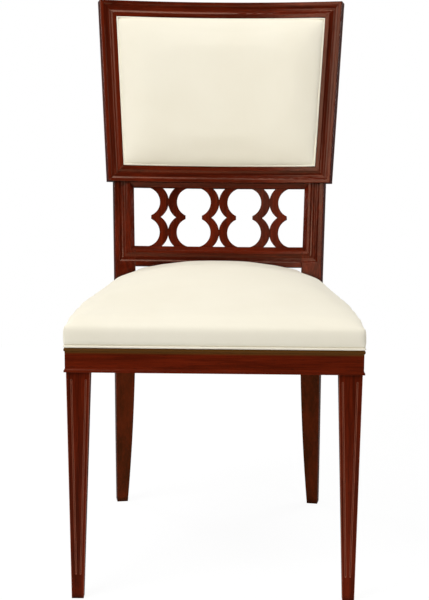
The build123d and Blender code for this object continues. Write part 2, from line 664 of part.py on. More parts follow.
with BuildPart() as board_blank:
    with BuildSketch(Plane.XY.offset(rail_top)):
        with BuildLine():
            Polyline((-board_front_x, board_front), (board_front_x, board_front), (board_rear_x, seat_rear),
                     (-board_rear_x, seat_rear), close=True)
        make_face()
    extrude(amount=SEAT_BOARD_THICKNESS)
    add(post_notch.part, mode=Mode.SUBTRACT)

with BuildPart() as screw_holes:
    with Locations(*seat_screws_at):
        Cylinder(screw_hole, seat_screw_length + DOWEL_END_ROOM, align=upward)
    mirror(about=Plane.YZ)

with BuildPart() as seat_board:
    add(board_blank.part)
    add(screw_holes.part, mode=Mode.SUBTRACT)
seat_board.part.label = "seat_board"
export_step(seat_board.part, "parts/seat_board.step")

# Seat pad: sections from front to back, as shares of depth, edge height and crown
SEAT_STATIONS = ((0, 0.80, 0.02), (0.012, 0.94, 0.05), (0.035, 1.0, 0.15), (0.17, 1.05, 0.50),
                 (0.43, 1.10, 0.88), (0.69, 1.08, 0.92), (0.88, 0.92, 0.80), (1, 0.85, 0.66))


def seat_section(share, edge_share, crown_share, inset, foot):
    """Outline of the pad across one station, inset from its outer face: bulged sides, round edges and a crown."""
    y = front_y - SEAT_PROUD + inset + (SEAT_DEPTH + SEAT_PROUD - inset) * share
    half = side_x(y, inset - SEAT_PROUD) - SEAT_BULGE
    edge = rail_top + SEAT_EDGE * edge_share - inset
    crown = edge + SEAT_CROWN * crown_share
    shoulder = edge - SEAT_ROUND
    slant = SEAT_ROUND * (1 - 1 / sqrt(2))
    with BuildSketch(Plane((0, y, 0), x_dir=(-1, 0, 0), z_dir=(0, 1, 0))) as section:
        with BuildLine():
            Line((-half, foot), (half, foot))
            ThreePointArc((half, foot), (half + SEAT_BULGE, (foot + shoulder) / 2), (half, shoulder))
            ThreePointArc((half, shoulder), (half - slant, edge - slant), (half - SEAT_ROUND, edge))
            ThreePointArc((half - SEAT_ROUND, edge), (0, crown), (SEAT_ROUND - half, edge))
            ThreePointArc((SEAT_ROUND - half, edge), (slant - half, edge - slant), (-half, shoulder))
            ThreePointArc((-half, shoulder), (-half - SEAT_BULGE, (foot + shoulder) / 2), (-half, foot))
        make_face()
    return section.sketch.faces()[0]


foam_foot = rail_top + SEAT_BOARD_THICKNESS
cover_foot = rail_top + 2 * WELT_RADIUS
base_rail_low = opening_low - CROSS_RAIL_HEIGHT

# The pad stops in front of the fret's base rail and tucks under it
with BuildPart() as cover_tuck:
    with BuildSketch(upright_plane(sweep_turn)):
        with BuildLine():
            Polyline((POST_GAP, opening_high), (POST_GAP, base_rail_low - POST_GAP),
                     (-2 * POST_DEPTH, base_rail_low - POST_GAP), (-2 * POST_DEPTH, opening_high), close=True)
        make_face()
    revolve(axis=back_axis, revolution_arc=degrees(sweep_turn))
    mirror(about=Plane.YZ)

with BuildPart() as foam_tuck:
    foam_gap = POST_GAP + COVER_THICKNESS
    with BuildSketch(upright_plane(sweep_turn)):
        with BuildLine():
            Polyline((foam_gap, opening_high), (foam_gap, base_rail_low - foam_gap),
                     (-2 * POST_DEPTH, base_rail_low - foam_gap), (-2 * POST_DEPTH, opening_high), close=True)
        make_face()
    revolve(axis=back_axis, revolution_arc=degrees(sweep_turn))
    mirror(about=Plane.YZ)

with BuildPart() as seat_foam:
    loft([seat_section(*station, COVER_THICKNESS, foam_foot) for station in SEAT_STATIONS], ruled=True)
    add(post_notch.part, mode=Mode.SUBTRACT)
    add(foam_tuck.part, mode=Mode.SUBTRACT)
seat_foam.part.label = "seat_foam"
export_step(seat_foam.part, "parts/seat_foam.step")

with BuildPart() as seat_cover:
    loft([seat_section(*station, 0, cover_foot) for station in SEAT_STATIONS], ruled=True)
    add(post_notch.part, mode=Mode.SUBTRACT)
    add(cover_tuck.part, mode=Mode.SUBTRACT)
    add(seat_foam.part, mode=Mode.SUBTRACT)
    add(board_blank.part, mode=Mode.SUBTRACT)
seat_cover.part.label = "seat_cover"
export_step(seat_cover.part, "parts/seat_cover.step")

# Seat welt: piping round the front and sides, mitred at the front corners and stopped at the rear legs
with BuildPart() as welt_front_run:
    with BuildSketch(front_rail_section):
        with Locations((seat_welt_out, rail_top + WELT_RADIUS)):
            Circle(WELT_RADIUS)
    extrude(amount=-(SEAT_WIDTH / 2 + RAIL_THICKNESS))
    split(bisect_by=front_mitre, keep=Keep.BOTTOM)

with BuildPart() as welt_side_run:
    with BuildSketch(side_rail_section):
        with Locations((seat_welt_out, rail_top + WELT_RADIUS)):
            Circle(WELT_RADIUS)
    extrude(amount=-side_rail_length)
    split(bisect_by=front_mitre, keep=Keep.TOP)
    split(bisect_by=block_face.offset(POST_GAP), keep=Keep.TOP)

with BuildPart() as seat_welt:
    add(welt_front_run.part)
    add(welt_side_run.part)
    mirror(about=Plane.YZ)
seat_welt.part.label = "seat_welt"
export_step(seat_welt.part, "parts/seat_welt.step")

# Dust cover: cloth under the seat board, inside the screws
dust_front = front_y + RAIL_THICKNESS + DUST_COVER_MARGIN
dust_rear = rear_rail_front - DUST_COVER_MARGIN
dust_front_x = seat_screws_at[0].origin.X - SCREW_HEAD
dust_rear_x = seat_screws_at[1].origin.X - SCREW_HEAD

with BuildPart() as seat_dust_cover:
    with BuildSketch(Plane.XY.offset(rail_top)):
        with BuildLine():
            Polyline((-dust_front_x, dust_front), (dust_front_x, dust_front), (dust_rear_x, dust_rear),
                     (-dust_rear_x, dust_rear), close=True)
        make_face()
    extrude(amount=-DUST_COVER_THICKNESS)
seat_dust_cover.part.label = "seat_dust_cover"
export_step(seat_dust_cover.part, "parts/seat_dust_cover.step")

# Fret splats: each is two mirrored bands between two pairs of arcs, tongued into the rails
splat_half_height = FRET_HEIGHT / 2
arc_end_rise = splat_half_height - ARC_RISE
outer_end_x = OUTER_ARC_REACH - sqrt(OUTER_ARC_RADIUS**2 - arc_end_rise**2)
inner_end_x = INNER_ARC_REACH - sqrt(INNER_ARC_RADIUS**2 - arc_end_rise**2)
star_x = OUTER_ARC_REACH - sqrt(OUTER_ARC_RADIUS**2 - ARC_RISE**2)
cusp_half_height = ARC_RISE - sqrt(INNER_ARC_RADIUS**2 - (INNER_ARC_REACH - CUSP_REACH) ** 2)
outer_mid_x = OUTER_ARC_REACH - OUTER_ARC_RADIUS
inner_mid_x = INNER_ARC_REACH - INNER_ARC_RADIUS
tongue_end = splat_half_height + SPLAT_TONGUE
groove_front = GLUE_GAP - SPLAT_SETBACK
groove_back = -SPLAT_SETBACK - SPLAT_THICKNESS - inner_end_x**2 / BACK_RADIUS - GLUE_GAP


def splat_plane(u):
    """Plane of a splat's front face: x along the curve, y up the rake."""
    turn = asin(u / BACK_RADIUS)
    middle = back_point(u, (opening_low + opening_high) / 2, bow(u)) - facing(turn) * SPLAT_SETBACK
    return Plane(middle, x_dir=RIGHT * cos(turn) + to_front * sin(turn), z_dir=facing(turn))


with BuildSketch() as splat_outline:
    with BuildLine():
        Polyline((inner_end_x, splat_half_height), (inner_end_x, tongue_end), (outer_end_x, tongue_end),
                 (outer_end_x, splat_half_height))
        ThreePointArc((outer_end_x, splat_half_height), (outer_mid_x, ARC_RISE), (star_x, 0))
        ThreePointArc((star_x, 0), (outer_mid_x, -ARC_RISE), (outer_end_x, -splat_half_height))
        Polyline((outer_end_x, -splat_half_height), (outer_end_x, -tongue_end), (inner_end_x, -tongue_end),
                 (inner_end_x, -splat_half_height))
        ThreePointArc((inner_end_x, -splat_half_height), (inner_mid_x, -ARC_RISE), (CUSP_REACH, -cusp_half_height))
        Line((CUSP_REACH, -cusp_half_height), (CUSP_REACH, cusp_half_height))
        ThreePointArc((CUSP_REACH, cusp_half_height), (inner_mid_x, ARC_RISE), (inner_end_x, splat_half_height))
    make_face()
    mirror(about=Plane.YZ)

with BuildPart() as fret_splat_centre:
    with BuildSketch(splat_plane(0)):
        add(splat_outline.sketch)
    extrude(amount=-SPLAT_THICKNESS)
fret_splat_centre.part.label = "fret_splat_centre"
export_step(fret_splat_centre.part, "parts/fret_splat_centre.step")

with BuildPart() as fret_splat_right:
    with BuildSketch(splat_plane(SPLAT_PITCH)):
        add(splat_outline.sketch)
    extrude(amount=-SPLAT_THICKNESS)
fret_splat_right.part.label = "fret_splat_right"
export_step(fret_splat_right.part, "parts/fret_splat_right.step")

with BuildPart() as fret_splat_left:
    mirror(fret_splat_right.part, about=Plane.YZ)
fret_splat_left.part.label = "fret_splat_left"
export_step(fret_splat_left.part, "parts/fret_splat_left.step")

# Fret rails: curved between the posts, moulded like them and grooved for the splats
groove_floor = opening_low - SPLAT_TONGUE
groove_roof = opening_high + SPLAT_TONGUE

with BuildPart() as fret_base_rail:
    with BuildSketch(upright_plane(sweep_turn)):
        with BuildLine():
            Polyline((-FRET_RAIL_DEPTH, base_rail_low), (0, base_rail_low), (0, cove_low - COVE_WIDTH))
            ThreePointArc((0, cove_low - COVE_WIDTH), (-COVE_DEPTH, cove_low - COVE_WIDTH / 2), (0, cove_low))
            Polyline((0, cove_low), (0, opening_low - BEVEL), (-BEVEL, opening_low), (groove_front, opening_low),
                     (groove_front, groove_floor), (groove_back, groove_floor), (groove_back, opening_low),
                     (-FRET_RAIL_DEPTH, opening_low), (-FRET_RAIL_DEPTH, base_rail_low))
        make_face()
    revolve(axis=back_axis, revolution_arc=degrees(sweep_turn))
    split(bisect_by=post_inner_face, keep=Keep.BOTTOM)
    with Locations(*back_dowel_planes):
        Cylinder(dowel_hole, dowel_room, mode=Mode.SUBTRACT)
    mirror(about=Plane.YZ)
fret_base_rail.part.label = "fret_base_rail"
export_step(fret_base_rail.part, "parts/fret_base_rail.step")

with BuildPart() as fret_head_rail:
    with BuildSketch(upright_plane(sweep_turn)):
        with BuildLine():
            Polyline((-BEVEL, opening_high), (0, opening_high + BEVEL), (0, panel_low), (-FRET_RAIL_DEPTH, panel_low),
                     (-FRET_RAIL_DEPTH, opening_high), (groove_back, opening_high), (groove_back, groove_roof),
                     (groove_front, groove_roof), (groove_front, opening_high), close=True)
        make_face()
    revolve(axis=back_axis, revolution_arc=degrees(sweep_turn))
    split(bisect_by=post_inner_face, keep=Keep.BOTTOM)
    mirror(about=Plane.YZ)
fret_head_rail.part.label = "fret_head_rail"
export_step(fret_head_rail.part, "parts/fret_head_rail.step")


# Back panel frame: moulded front, rebated at the back for the board, mitred and dowelled corners
def frame_section(place, rebate_front):
    """The frame's section, drawn through place, which turns inset and depth into sketch coordinates."""
    back = PANEL_PROUD - PANEL_DEPTH
    shoulder = PANEL_PROUD - rebate_front
    cove_end_at = PANEL_LIP + PANEL_COVE
    cove_middle = PANEL_LIP + PANEL_COVE / 2
    broken = PANEL_PROUD - PANEL_BREAK
    with BuildSketch() as section:
        with BuildLine():
            Polyline(place(cove_end_at, PANEL_PROUD), place(PANEL_MEMBER - PANEL_BREAK, PANEL_PROUD),
                     place(PANEL_MEMBER, broken), place(PANEL_MEMBER, shoulder),
                     place(PANEL_MEMBER - REBATE_WIDTH, shoulder), place(PANEL_MEMBER - REBATE_WIDTH, back),
                     place(0, back), place(0, broken), place(PANEL_BREAK, PANEL_PROUD), place(PANEL_LIP, PANEL_PROUD))
            ThreePointArc(place(PANEL_LIP, PANEL_PROUD), place(cove_middle, PANEL_PROUD - PANEL_COVE_DEPTH),
                          place(cove_end_at, PANEL_PROUD))
        make_face()
    return section.sketch


mitre_hole = MITRE_DOWEL_DIAMETER / 2 + GLUE_GAP
mitre_room = MITRE_DOWEL_LENGTH + 2 * DOWEL_END_ROOM

with BuildPart() as panel_stile_right:
    with BuildSketch(stile_start):
        add(frame_section(lambda inset, depth: (-inset, depth), REBATE_FRONT - PANEL_GAP))
    extrude(amount=stile_run.length, dir=stile_run.normalized())
    split(bisect_by=panel_mitre_low, keep=Keep.TOP)
    split(bisect_by=panel_mitre_high, keep=Keep.BOTTOM)
    with Locations(*mitre_dowel_planes):
        Cylinder(mitre_hole, mitre_room, mode=Mode.SUBTRACT)
panel_stile_right.part.label = "panel_stile_right"
export_step(panel_stile_right.part, "parts/panel_stile_right.step")

with BuildPart() as panel_stile_left:
    mirror(panel_stile_right.part, about=Plane.YZ)
panel_stile_left.part.label = "panel_stile_left"
export_step(panel_stile_left.part, "parts/panel_stile_left.step")

with BuildPart() as panel_base_rail:
    with BuildSketch(upright_plane(panel_sweep)):
        add(frame_section(lambda inset, depth: (depth, panel_low + inset), REBATE_FRONT))
    revolve(axis=back_axis, revolution_arc=degrees(panel_sweep))
    split(bisect_by=panel_mitre_low, keep=Keep.BOTTOM)
    with Locations(*mitre_dowel_planes):
        Cylinder(mitre_hole, mitre_room, mode=Mode.SUBTRACT)
    with Locations(*back_dowel_planes):
        Cylinder(dowel_hole, dowel_room, mode=Mode.SUBTRACT)
    mirror(about=Plane.YZ)
panel_base_rail.part.label = "panel_base_rail"
export_step(panel_base_rail.part, "parts/panel_base_rail.step")

with BuildPart() as panel_top_rail:
    with BuildSketch(upright_plane(panel_sweep)):
        add(frame_section(lambda inset, depth: (depth, panel_high - inset), REBATE_FRONT))
    revolve(axis=back_axis, revolution_arc=degrees(panel_sweep))
    split(bisect_by=panel_mitre_high, keep=Keep.TOP)
    with Locations(*mitre_dowel_planes):
        Cylinder(mitre_hole, mitre_room, mode=Mode.SUBTRACT)
    mirror(about=Plane.YZ)
panel_top_rail.part.label = "panel_top_rail"
export_step(panel_top_rail.part, "parts/panel_top_rail.step")

# Dowels of the back: fret base rail into the posts, posts into the panel, and the panel's mitres
with BuildPart() as back_dowels:
    with Locations(*back_dowel_planes):
        Cylinder(DOWEL_DIAMETER / 2, DOWEL_LENGTH)
    mirror(about=Plane.YZ)
back_dowels.part.label = "back_dowels"
export_step(back_dowels.part, "parts/back_dowels.step")

with BuildPart() as mitre_dowels:
    with Locations(*mitre_dowel_planes):
        Cylinder(MITRE_DOWEL_DIAMETER / 2, MITRE_DOWEL_LENGTH)
    mirror(about=Plane.YZ)
mitre_dowels.part.label = "mitre_dowels"
export_step(mitre_dowels.part, "parts/mitre_dowels.step")

# Boards in the panel frame's rebate: the one that carries the pad, and the one that closes the back
rebate_inset = PANEL_MEMBER - REBATE_WIDTH + PANEL_GAP
board_middle_v = (panel_low + panel_high) / 2
board_height = PANEL_HEIGHT - 2 * rebate_inset
board_face = PANEL_PROUD - REBATE_FRONT

with BuildPart() as back_board:
    with BuildSketch(upright_plane(panel_sweep)):
        with Locations((board_face - BACK_BOARD_THICKNESS / 2, board_middle_v)):
            Rectangle(BACK_BOARD_THICKNESS, board_height)
    revolve(axis=back_axis, revolution_arc=degrees(panel_sweep))
    split(bisect_by=stile_inner_plane(rebate_inset), keep=Keep.BOTTOM)
    mirror(about=Plane.YZ)
back_board.part.label = "back_board"
export_step(back_board.part, "parts/back_board.step")

with BuildPart() as outside_back:
    with BuildSketch(upright_plane(panel_sweep)):
        with Locations((board_face - BACK_BOARD_THICKNESS - OUTSIDE_BACK_THICKNESS / 2, board_middle_v)):
            Rectangle(OUTSIDE_BACK_THICKNESS, board_height)
    revolve(axis=back_axis, revolution_arc=degrees(panel_sweep))
    split(bisect_by=stile_inner_plane(rebate_inset), keep=Keep.BOTTOM)
    mirror(about=Plane.YZ)
outside_back.part.label = "outside_back"
export_step(outside_back.part, "parts/outside_back.step")

# Back pad: sections up the rake, flat behind against the board and crowned in front
PAD_STATIONS = (0, 0.12, 0.5, 0.88, 1)
PAD_SHARES = (-1, -0.75, -0.4, 0, 0.4, 0.75, 1)
pad_inset = PANEL_MEMBER + 2 * WELT_RADIUS
pad_edge = PANEL_PROUD - 2 * WELT_RADIUS


def pad_section(share, inset, rear_face):
    """Outline of the back pad across one station, inset from its outer face, with its back at this depth."""
    low = panel_low + pad_inset + inset
    v = low + (PANEL_HEIGHT - 2 * (pad_inset + inset)) * share
    half = stile_u(v) - pad_inset - inset
    crown = BACK_CROWN * (1 - (2 * share - 1) ** 4)
    rear = -bow(half, BACK_RADIUS - rear_face)
    front = []
    for across in PAD_SHARES:
        rise = pad_edge - inset + crown * (1 - across**4) + bow(half * across)
        front.append((half * across, -rise))
    with BuildSketch(Plane(back_point(0, v, 0), x_dir=RIGHT, z_dir=up_back)) as section:
        with BuildLine():
            Spline(*front)
            Line(front[-1], (half, rear))
            ThreePointArc((half, rear), (0, -rear_face), (-half, rear))
            Line((-half, rear), front[0])
        make_face()
    return section.sketch.faces()[0]


with BuildPart() as back_foam:
    loft([pad_section(share, COVER_THICKNESS, board_face) for share in PAD_STATIONS], ruled=True)
back_foam.part.label = "back_foam"
export_step(back_foam.part, "parts/back_foam.step")

with BuildPart() as pad_core:
    core_back = board_face - BACK_BOARD_THICKNESS
    loft([pad_section(share, COVER_THICKNESS, core_back) for share in PAD_STATIONS], ruled=True)

with BuildPart() as back_cover:
    loft([pad_section(share, 0, board_face) for share in PAD_STATIONS], ruled=True)
    add(pad_core.part, mode=Mode.SUBTRACT)
back_cover.part.label = "back_cover"
export_step(back_cover.part, "parts/back_cover.step")

# Back welt: piping round the pad against the frame's inner edge, mitred with the frame
welt_inset = PANEL_MEMBER + WELT_RADIUS
welt_depth = PANEL_PROUD - WELT_RADIUS / 2

with BuildPart() as welt_stile_run:
    with BuildSketch(stile_start):
        with Locations((-welt_inset, welt_depth)):
            Circle(WELT_RADIUS)
    extrude(amount=stile_run.length, dir=stile_run.normalized())
    split(bisect_by=panel_mitre_low, keep=Keep.TOP)
    split(bisect_by=panel_mitre_high, keep=Keep.BOTTOM)

with BuildPart() as welt_base_run:
    with BuildSketch(upright_plane(panel_sweep)):
        with Locations((welt_depth, panel_low + welt_inset)):
            Circle(WELT_RADIUS)
    revolve(axis=back_axis, revolution_arc=degrees(panel_sweep))
    split(bisect_by=panel_mitre_low, keep=Keep.BOTTOM)

with BuildPart() as welt_top_run:
    with BuildSketch(upright_plane(panel_sweep)):
        with Locations((welt_depth, panel_high - welt_inset)):
            Circle(WELT_RADIUS)
    revolve(axis=back_axis, revolution_arc=degrees(panel_sweep))
    split(bisect_by=panel_mitre_high, keep=Keep.TOP)

with BuildPart() as back_welt:
    add(welt_stile_run.part)
    add(welt_base_run.part)
    add(welt_top_run.part)
    mirror(about=Plane.YZ)
back_welt.part.label = "back_welt"
export_step(back_welt.part, "parts/back_welt.step")
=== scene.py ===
import bmesh
import bpy
import math
from mathutils import Matrix, Vector


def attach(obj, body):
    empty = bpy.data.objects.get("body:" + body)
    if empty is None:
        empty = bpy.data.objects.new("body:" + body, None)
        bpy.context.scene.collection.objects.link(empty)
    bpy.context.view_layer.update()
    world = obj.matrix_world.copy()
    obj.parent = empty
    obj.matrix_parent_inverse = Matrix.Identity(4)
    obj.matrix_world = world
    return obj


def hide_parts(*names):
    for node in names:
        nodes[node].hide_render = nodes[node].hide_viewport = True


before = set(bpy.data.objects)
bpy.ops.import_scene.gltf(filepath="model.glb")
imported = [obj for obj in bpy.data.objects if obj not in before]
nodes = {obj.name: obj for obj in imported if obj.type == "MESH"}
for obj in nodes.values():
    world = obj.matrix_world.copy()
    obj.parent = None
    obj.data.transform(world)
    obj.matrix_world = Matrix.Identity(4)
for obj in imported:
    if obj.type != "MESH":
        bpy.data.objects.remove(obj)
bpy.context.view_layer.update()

# Front legs: two tapering square legs of mahogany, each with a slim post that runs up inside the corner of
# the seat frame. Two flutes are cut down each outer face. The wood is stained dark red-brown and
# French-polished, with straight grain down the leg.


class Wire:
    """One output in a node tree, for plain arithmetic."""

    def __init__(self, owner, socket):
        self.owner = owner
        self.socket = socket

    def maths(self, operation, first, second):
        return self.owner.node("ShaderNodeMath", {"operation": operation}, {0: first, 1: second})

    def __add__(self, other):
        return self.maths("ADD", self, other)

    def __radd__(self, other):
        return self.maths("ADD", other, self)

    def __sub__(self, other):
        return self.maths("SUBTRACT", self, other)

    def __rsub__(self, other):
        return self.maths("SUBTRACT", other, self)

    def __mul__(self, other):
        return self.maths("MULTIPLY", self, other)

    def __rmul__(self, other):
        return self.maths("MULTIPLY", other, self)

    def at_least(self, other):
        return self.maths("MAXIMUM", self, other)


class NodeTree:
    """A node tree, and the one way that nodes are added to it."""

    def __init__(self, tree):
        self.tree = tree

    def feed(self, socket, value):
        if isinstance(value, Wire):
            self.tree.links.new(value.socket, socket)
        else:
            socket.default_value = value

    def node(self, kind, settings, sockets, output=0):
        made = self.tree.nodes.new(kind)
        for key, value in settings.items():
            setattr(made, key, value)
        for key, value in sockets.items():
            self.feed(made.inputs[key], value)
        return Wire(self, made.outputs[output])

    def light_path(self, ray):
        """1 for rays of one kind, and 0 for the rest."""
        return self.node("ShaderNodeLightPath", {}, {}, ray)


class Finish(NodeTree):
    """A surface finish: one material, its node tree and its main shader."""

    def __init__(self, name):
        self.material = bpy.data.materials.new(name)
        self.material.use_nodes = True
        super().__init__(self.material.node_tree)
        self.shader = self.tree.nodes["Principled BSDF"]

    def surface(self, sockets):
        for key, value in sockets.items():
            self.feed(self.shader.inputs[key], value)

    def coordinates(self):
        return self.node("ShaderNodeTexCoord", {}, {}, "Object")

    def normal(self):
        return self.node("ShaderNodeNewGeometry", {}, {}, "Normal")

    def parts(self, vector):
        split = self.node("ShaderNodeSeparateXYZ", {}, {0: vector})
        return [Wire(self, output) for output in split.socket.node.outputs]

    def height(self):
        """Height above the floor."""
        return self.parts(self.coordinates())[2]

    def grain(self, along, place):
        """Coordinates whose first axis runs along a direction, moved by a place."""
        turn = Vector(along).normalized().rotation_difference(Vector((1, 0, 0))).to_euler()
        sockets = {"Vector": self.coordinates(), "Rotation": turn, "Location": place}
        return self.node("ShaderNodeMapping", {"vector_type": "POINT"}, sockets)

    def stretched(self, vector, scales):
        return self.node("ShaderNodeVectorMath", {"operation": "MULTIPLY"}, {0: vector, 1: scales})

    def noise(self, vector, scale, detail=2.0, roughness=0.5, distortion=0.0):
        sockets = {"Vector": vector, "Scale": scale, "Detail": detail}
        sockets.update({"Roughness": roughness, "Distortion": distortion})
        return self.node("ShaderNodeTexNoise", {}, sockets)

    def between(self, value, low, high):
        """0 below low, 1 above high and smooth between them."""
        sockets = {"Value": value, "From Min": low, "From Max": high}
        return self.node("ShaderNodeMapRange", {"interpolation_type": "SMOOTHSTEP"}, sockets)

    def blend(self, share, first, second):
        return self.node("ShaderNodeMix", {"data_type": "RGBA"}, {0: share, 6: first, 7: second}, 2)

    def bump(self, height, distance, strength=1.0, normal=None):
        sockets = {"Height": height, "Distance": distance, "Strength": strength}
        if normal is not None:
            sockets["Normal"] = normal
        return self.node("ShaderNodeBump", {}, sockets)


def colour(red, green, blue):
    """A colour written as screen values from 0 to 255, as the shader takes it."""
    linear = []
    for value in (red, green, blue):
        share = value / 255
        linear.append(share / 12.92 if share <= 0.04045 else ((share + 0.055) / 1.055) ** 2.4)
    return (*linear, 1.0)


MAHOGANY_DARK = colour(58, 13, 3)
MAHOGANY_RED = colour(108, 31, 10)
MAHOGANY_LIGHT = colour(120, 43, 16)
MAHOGANY_PORE = colour(34, 9, 4)
RIBBON_STRETCH = (4, 55, 55)
STREAK_STRETCH = (14, 420, 420)
PORE_STRETCH = (70, 1500, 1500)
PORE_DEPTH = 0.00004
POLISH_ROUGHNESS = 0.13
POLISH_WARMTH = (1.0, 0.6, 0.4, 1.0)
ARRIS_HIGHLIGHT = colour(132, 72, 46)
ARRIS_RADIUS = 0.0009
RECESS_REACH = 0.012


def polished_mahogany(name, along, shift, toned=None, other_tone=None):
    """French-polished mahogany with its grain along a direction and its pattern moved by shift.

    The arrises are painted paler as a highlight, the recesses and joints are painted darker as shade, and
    where toned is given, the places that it marks take another tone.
    """
    finish = Finish(name)
    grain = finish.grain(along, (shift, shift * 0.7, shift * 1.3))
    ribbon = finish.noise(finish.stretched(grain, RIBBON_STRETCH), 1.0, 3.0, 0.55, 0.6)
    streak = finish.noise(finish.stretched(grain, STREAK_STRETCH), 1.0, 2.0, 0.6, 0.2)
    pore = finish.between(finish.noise(finish.stretched(grain, PORE_STRETCH), 1.0, 1.0), 0.60, 0.70)
    redness = finish.between(ribbon * 0.7 + streak * 0.3, 0.28, 0.76)
    wood = finish.blend(redness, MAHOGANY_DARK, MAHOGANY_RED)
    wood = finish.blend(finish.between(streak, 0.55, 0.80) * 0.3, wood, MAHOGANY_LIGHT)
    wood = finish.blend(pore * 0.45, wood, MAHOGANY_PORE)
    eased = finish.node("ShaderNodeBevel", {"samples": 6}, {"Radius": ARRIS_RADIUS})
    sides = {0: eased, 1: finish.normal()}
    facing = finish.node("ShaderNodeVectorMath", {"operation": "DOT_PRODUCT"}, sides, "Value")
    # Painted highlight: the arrises are painted paler, standing in for light caught by the rounded edges.
    arris = finish.between(1 - facing, 0.03, 0.25)
    wood = finish.blend(arris * 0.35, wood, ARRIS_HIGHLIGHT)
    # Painted shade: coves, creases and joints between pieces are painted darker where they are occluded.
    shelter = finish.node("ShaderNodeAmbientOcclusion", {"samples": 6}, {"Distance": RECESS_REACH}, "AO")
    wood = finish.blend((1 - finish.between(shelter, 0.5, 0.97)) * 0.7, wood, MAHOGANY_PORE)
    if toned:
        wood = finish.blend(toned(finish), wood, other_tone)
    finish.surface({"Base Color": wood, "Roughness": POLISH_ROUGHNESS + streak * 0.05 + pore * 0.10,
                    "Normal": finish.bump(1 - pore, PORE_DEPTH, 0.6, eased),
                    "Specular IOR Level": 0.4, "Specular Tint": POLISH_WARMTH})
    return finish.material


# Painted highlight: the flute hollows are painted paler where the flutes catch the light.
FLUTE_HIGHLIGHT = colour(178, 104, 80)


def flutes(finish):
    """The hollows of a leg's flutes, where the face turns away from both outer sides of the leg; they are
    painted paler as a highlight.
    """
    across, out = (finish.node("ShaderNodeMath", {"operation": "ABSOLUTE"}, {0: part})
                   for part in finish.parts(finish.normal())[:2])
    return finish.between(1 - across.at_least(out), 0.02, 0.10) * 0.7


def dress(node, material):
    """Gives a piece that keeps its machined shape its finish."""
    nodes[node].data.materials.clear()
    nodes[node].data.materials.append(material)


for side, lean, shift in (("left", 0.01, 0.0), ("right", -0.01, 1.7)):
    wood = polished_mahogany("mahogany_front_leg_" + side, (lean, 0.01, 1), shift, flutes, FLUTE_HIGHLIGHT)
    dress("front_leg_" + side, wood)

# Rear legs: one piece of mahogany each, sawn to a bend at the seat. The foot sweeps back, and the post above
# the seat rakes back with the chair and is moulded with a bevel and a hollow round the fret. Below the seat
# the wood is browner.
UNDER_SEAT_FADE = (0.36, 0.42)
UNDER_SEAT_BROWN = colour(80, 50, 12)


def below_seat(finish):
    """The leg below the seat."""
    return (1 - finish.between(finish.height(), *UNDER_SEAT_FADE)) * 0.22


for side, shift in (("left", 3.1), ("right", 4.6)):
    wood = polished_mahogany("mahogany_rear_leg_" + side, (0, 0, 1), shift, below_seat, UNDER_SEAT_BROWN)
    dress("rear_leg_" + side, wood)

# Seat rails: mahogany, moulded with a bead on the top edge and a hollow base, mitred at the front corners and
# dowelled into the rear legs. The bead is painted browner as a painted reflection of the piping above it. The
# rear rail is plain.
MIRROR = Vector((-1, 1, 1))
SIDE_RUN = Vector((-0.1344, 0.9909, 0))
BEAD_FOOT = 0.4090
BEAD_FADE = 0.0045
# Painted reflection: the bead's browner tone stands in for the piping reflected in its top.
BEAD_REFLECTION = colour(92, 60, 23)


def bead(finish):
    """The bead along the top edge of a seat rail, fading into the face below it, where a browner painted
    reflection is laid.
    """
    return finish.between(finish.height(), BEAD_FOOT - BEAD_FADE, BEAD_FOOT) * 0.85


rails = (("front", (1, 0, 0), 6.2), ("right", SIDE_RUN, 7.9), ("left", SIDE_RUN * MIRROR, 9.3))
for side, run, shift in rails:
    wood = polished_mahogany("mahogany_" + side + "_rail", run, shift, bead, BEAD_REFLECTION)
    dress(side + "_seat_rail", wood)
dress("rear_seat_rail", polished_mahogany("mahogany_rear_rail", (1, 0, 0), 10.4))

# Corner blocks, dowels and screws: unpolished beech blocks glued and screwed into the corners of the seat
# frame, beech dowels in the joints, and plain steel screws.
BEECH = colour(176, 134, 92)
BEECH_STREAK = colour(148, 104, 66)
STEEL_DULL = colour(150, 150, 150)
STEEL_BRIGHT = colour(190, 190, 188)


def raw_wood(name, pale, streaky, along, shift):
    """Unpolished wood with fine streaks along a direction."""
    finish = Finish(name)
    grain = finish.grain(along, (shift, 0, shift))
    streak = finish.noise(finish.stretched(grain, (12, 300, 300)), 1.0, 3.0, 0.6)
    fleck = finish.between(finish.noise(finish.stretched(grain, (60, 900, 900)), 1.0), 0.58, 0.70)
    wood = finish.blend(finish.between(streak, 0.38, 0.64), streaky, pale)
    finish.surface({"Base Color": finish.blend(fleck * 0.4, wood, streaky), "Roughness": 0.62 + streak * 0.15,
                    "Normal": finish.bump(streak, 0.0002, 0.4), "Specular IOR Level": 0.3})
    return finish.material


for index, corner in enumerate(("front_left", "front_right", "rear_left", "rear_right")):
    wood = raw_wood("beech_block_" + corner, BEECH, BEECH_STREAK, (1, 0.4, 0), index * 1.9)
    dress("corner_block_" + corner, wood)
beech_dowels = raw_wood("beech_dowels", BEECH, BEECH_STREAK, (1, 0, 0), 8.0)
for dowels in ("seat_frame_dowels", "back_dowels", "mitre_dowels"):
    dress(dowels, beech_dowels)

steel = Finish("screw_steel")
turning = steel.noise(steel.coordinates(), 2400.0, 1.0)
steel.surface({"Base Color": steel.blend(turning, STEEL_DULL, STEEL_BRIGHT), "Metallic": 1.0,
               "Roughness": 0.3 + turning * 0.2})
for screws in ("corner_block_screws", "seat_screws"):
    dress(screws, steel.material)

# Seat board: a sheet of plywood that the seat's pad is built on. It lies on the seat frame and is screwed up
# from the corner blocks.
PLYWOOD = colour(206, 170, 120)
PLYWOOD_STREAK = colour(184, 142, 92)
dress("seat_board", raw_wood("plywood_seat", PLYWOOD, PLYWOOD_STREAK, (0, 1, 0), 2.2))

